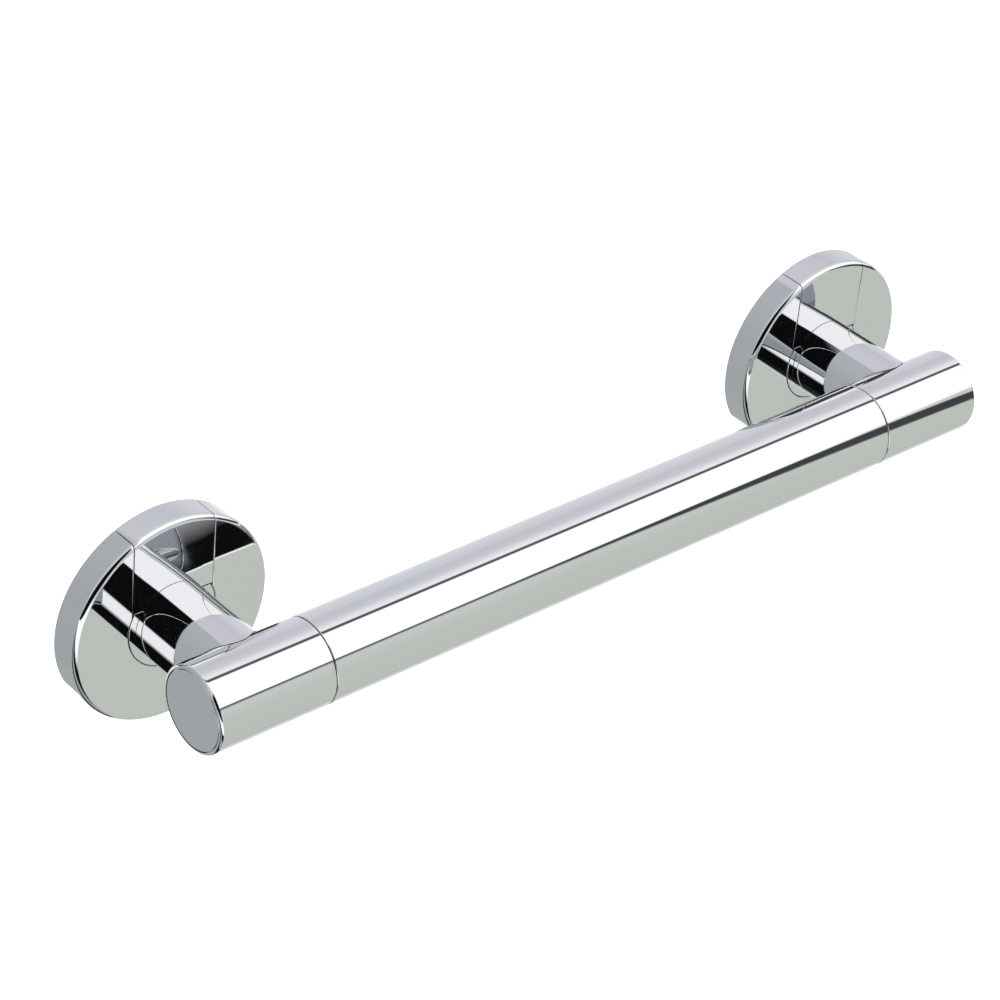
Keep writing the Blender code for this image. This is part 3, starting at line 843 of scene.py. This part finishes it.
def build():
    rail_chrome = polished_chrome("rail chrome", 0)
    head_chrome = polished_chrome("head chrome", 2)
    plastic = moulded_plastic()
    wire = spring_wire()
    steels = {}
    rubbers = {}
    for head, side in HEADS.items():
        centre = (side * HEAD_ACROSS, 0, 0)
        steels[head] = turned_steel(head + " turned steel", centre, (0.62, 0.62, 0.63))
        rubbers[head] = cup_rubber(head + " cup rubber", centre)
    put_to_use(make_rail(), rail_chrome, "polished_chrome", "root", "rail_tube")
    set_screw = make_grub_screw()
    first = grub_along("right_rail_grub_screw")
    for head in HEADS:
        for place in ("rail", "sleeve"):
            node = head + "_" + place + "_grub_screw"
            name = head + "_" + place + "_set_screw"
            same = head == "right" and place == "rail"
            screw = set_screw if same else copy_of(set_screw, name, grub_along(node) - first)
            put_to_use(screw, steels[head], "plain_steel", "root", node)
    chrome_pieces = (
        (make_sleeve, "sleeve", "end_sleeve", "root", rail_chrome),
        (make_end_cap, "cap", "end_cap", "root", rail_chrome),
        (make_cover, "cover", "flange_cover", "root", head_chrome),
        (make_collar, "collar", "post_collar", "root", head_chrome),
        (make_post, "post_tube", "post", "root", head_chrome),
        (make_lever, "lever_plate", "release_lever", "lever", head_chrome),
    )
    for make, name, node, body, chrome in chrome_pieces:
        right = make()
        left = mirror_of(right, "left_" + name, name in ("sleeve", "cover"))
        for head, piece in (("left", left), ("right", right)):
            rides_on = body if body == "root" else head + "_" + body
            put_to_use(piece, chrome, "polished_chrome", rides_on, head + "_" + node)
    cup, spring = make_cup(), make_spring()
    to_left = -2 * HEAD_ACROSS
    pairs = {
        "right": (cup, spring),
        "left": (copy_of(cup, "left_cup", to_left), copy_of(spring, "left_spring", to_left)),
    }
    for head, side in HEADS.items():
        x = side * HEAD_ACROSS
        cup, spring = pairs[head]
        put_to_use(cup, rubbers[head], "cup_rubber", None, head + "_suction_cup")
        head + "_plunger"
        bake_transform(cup)
        put_to_use(spring, wire, "spring_steel", "root", head + "_stud_spring")
        head + "_pull_slide"
        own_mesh(spring)
        for node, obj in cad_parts.items():
            if node.startswith(head) and not obj.hide_render:
                obj.data.materials.clear()
                obj.data.materials.append(plastic if node.endswith("housing") else steels[head])


# ---------------------------------------------------------------- studio

def tone(red, green, blue):
    """A display colour as a linear one, made up for what chrome takes away."""
    return tuple(((c / 255 + 0.055) / 1.055) ** 2.4 / 0.82 for c in (red, green, blue)) + (1.0,)


# Tones of the studio by the angle about the rail, in degrees from straight behind it, over its top. The far
# side is what chrome mirrors beyond the crossing towards +X, and the near side what it mirrors before it.
FAR_SIDE = (
    (0, (205, 207, 212)), (28, (200, 201, 206)), (42, (190, 191, 199)), (60, (198, 198, 204)),
    (74, (226, 227, 230)), (81, (235, 236, 238)), (82, (80, 82, 86)), (88, (80, 82, 86)),
    (90, (255, 255, 255)), (155, (255, 255, 255)), (160, (198, 200, 200)), (190, (186, 191, 184)),
    (252, (184, 189, 181)), (268, (178, 182, 178)), (284, (205, 207, 205)), (302, (235, 236, 236)),
    (316, (250, 250, 250)), (332, (235, 236, 238)), (350, (208, 210, 214)),
)
NEAR_SIDE = (
    (0, (158, 161, 164)), (30, (161, 165, 169)), (60, (172, 175, 180)), (116, (205, 207, 210)),
    (122, (12, 12, 14)), (186, (12, 12, 14)), (190, (252, 252, 252)), (217, (252, 252, 252)),
    (222, (12, 12, 14)), (236, (12, 12, 14)), (240, (150, 153, 150)), (259, (150, 153, 150)),
    (263, (12, 12, 14)), (276, (12, 12, 14)), (286, (165, 168, 166)), (315, (156, 160, 163)),
    (350, (160, 163, 166)),
)
# Tones by the same angle for chrome that is seen in other chrome: the heads, and the rail.
HEAD_SHADE = (
    (0, (143, 147, 154)), (80, (150, 152, 160)), (232, (250, 250, 250)), (251, (250, 250, 250)),
    (256, (24, 25, 30)), (290, (52, 55, 66)), (330, (118, 122, 132)),
)
RAIL_SHADE = ((0, (22, 21, 20)), (232, (250, 250, 250)), (251, (250, 250, 250)), (256, (14, 14, 14)))

# The dark flag on the far side starts as a point, at this share of +X in the direction, and widens with it.
FLAG_START = 0.53
FLAG_LENGTH = 0.147
FLAG_TOP = 156
FLAG_TOP_RISE = 14
FLAG_LOW = 160
FLAG_LOW_DROP = 32
FLAG_TONE = (62, 62, 66)

# The Light Path depth past which a reflection is taken for chrome seen in chrome.
SEEN_IN_CHROME = 2.5

FLOOR_DROP = 0.25
CAMERA_TURN = math.radians(-43.33)
CAMERA_RISE = math.radians(34.10)
CAMERA_ROLL = math.radians(5.57)
CAMERA_DISTANCE = 1.2434
CAMERA_TARGET = Vector((-0.01299, -0.01683, -0.00172))
LENS = 124.8
SENSOR = 36.0

# Soft lights: name, place in metres, width in metres and watts.
SOFT_LIGHTS = (
    ("key", (-0.9, -1.2, 1.4), 1.2, 12.0),
    ("fill", (1.2, -0.6, 0.5), 1.0, 5.0),
    ("back", (0.3, 1.3, 0.6), 1.0, 6.0),
)


def tones_about(finish, turn, stops):
    stops = [(place / 360, tone(*colour)) for place, colour in stops]
    return finish.node("ShaderNodeValToRGB", {"stops": stops}, {"Fac": turn / 360})["Color"]


def studio_light():
    """A world for chrome to mirror: bands of tone about the rail, and plain white straight to the camera.

    It is a look, not a physical room: what chrome shows depends on how many bounces the light path has made.
    """
    world = bpy.data.worlds.new("studio")
    bpy.context.scene.world = world
    world.use_nodes = True
    tree = world.node_tree
    tree.nodes.clear()
    finish = Finish(tree)
    way = finish.node("ShaderNodeSeparateXYZ", {}, {"Vector": finish.node("ShaderNodeTexCoord")["Generated"]})
    path = finish.node("ShaderNodeLightPath")
    x, y, z = way["X"], way["Y"], way["Z"]
    turn = z.maths("ARCTAN2", z, y) * (180 / math.pi)
    turn = turn.maths("FLOORED_MODULO", turn + 360, 360)
    reach = (x - FLAG_START) / FLAG_LENGTH
    reach = reach.maths("MAXIMUM", reach, 0.0)
    flag_top = FLAG_TOP + FLAG_TOP_RISE * reach.maths("MINIMUM", reach, 1.0) ** 6
    flag_low = FLAG_LOW + FLAG_LOW_DROP * reach.maths("MINIMUM", reach, 1.15) ** 2.5
    flag = (turn - flag_top).above(0.0, 3.0) * (1 - (turn - flag_low).above(0.5, 6.0))
    far = finish.blend(flag, tones_about(finish, turn, FAR_SIDE), tone(*FLAG_TONE))
    near = tones_about(finish, turn, NEAR_SIDE)
    crossing = 0.2 - 0.28 * z.above(-0.35, 0.3)
    seen_once = finish.blend((x - crossing).above(0.0, 0.05), near, far)
    from_rail = x.above(0.4925, 0.004) * (1 - x.above(0.6, 0.02))
    head_tones = tones_about(finish, turn, HEAD_SHADE)
    rail_tones = tones_about(finish, turn, RAIL_SHADE)
    shade = finish.blend(from_rail, head_tones, rail_tones)
    behind = turn.above(230, 4) + (1 - turn.above(84, 8))
    twice = path["Ray Depth"].above(SEEN_IN_CHROME, 0.1) * x.above(0.4, 0.05) * behind
    lit = finish.blend(twice, seen_once, shade)
    seen = finish.blend(path["Is Camera Ray"], lit, (1.0, 1.0, 1.0, 1.0))
    background = finish.node("ShaderNodeBackground", {}, {"Color": seen, "Strength": 1.0})
    finish.node("ShaderNodeOutputWorld", {}, {"Surface": background["Background"]})


def make_floor():
    deselect_all()
    bpy.ops.mesh.primitive_plane_add(size=8.0, location=(0, 0, CAD_BOX[0].z - FLOOR_DROP))
    floor = bpy.context.active_object
    floor.name = "pale_floor"
    material, finish, shader, place = new_finish(
        "pale floor", {"Roughness": 0.9, "Emission Strength": 1.0, "Emission Color": (1.0, 1.0, 1.0, 1.0)}
    )
    mottle = finish.noise(place, 3.0, 2.0)
    feed(finish, shader, colour=finish.blend(mottle, (0.90, 0.90, 0.90, 1.0), (0.93, 0.93, 0.93, 1.0)))
    floor.data.materials.append(material)
    floor.visible_glossy = False
    floor.visible_diffuse = False


def soft_light(name, place, size, power):
    """A broad lamp that lights the unplated pieces; the chrome mirrors the studio instead."""
    lamp = bpy.data.lights.new(name, "AREA")
    lamp.size = size
    lamp.energy = power
    stand = bpy.data.objects.new(name, lamp)
    bpy.context.scene.collection.objects.link(stand)
    stand.location = place
    stand.rotation_mode = "QUATERNION"
    stand.rotation_quaternion = (-Vector(place)).to_track_quat("-Z", "Y")
    stand.visible_glossy = False


def make_camera():
    data = bpy.data.cameras.new("camera")
    data.lens = LENS
    data.sensor_width = SENSOR
    data.clip_end = 20.0
    camera = bpy.data.objects.new("camera", data)
    bpy.context.scene.collection.objects.link(camera)
    a, e = CAMERA_TURN, CAMERA_RISE
    back = Vector((math.sin(a) * math.cos(e), -math.cos(a) * math.cos(e), math.sin(e)))
    right = (-back).cross(Vector((0, 0, 1))).normalized()
    up = right.cross(-back)
    right, up = (
        math.cos(CAMERA_ROLL) * right + math.sin(CAMERA_ROLL) * up,
        math.cos(CAMERA_ROLL) * up - math.sin(CAMERA_ROLL) * right,
    )
    turn = Matrix((right, up, back)).transposed().to_4x4()
    camera.matrix_world = Matrix.Translation(CAMERA_TARGET + back * CAMERA_DISTANCE) @ turn
    bpy.context.scene.camera = camera
    bpy.context.scene.view_settings.view_transform = "Standard"


build()
studio_light()
make_floor()
for light in SOFT_LIGHTS:
    soft_light(*light)
make_camera()

bpy.context.view_layer.update()
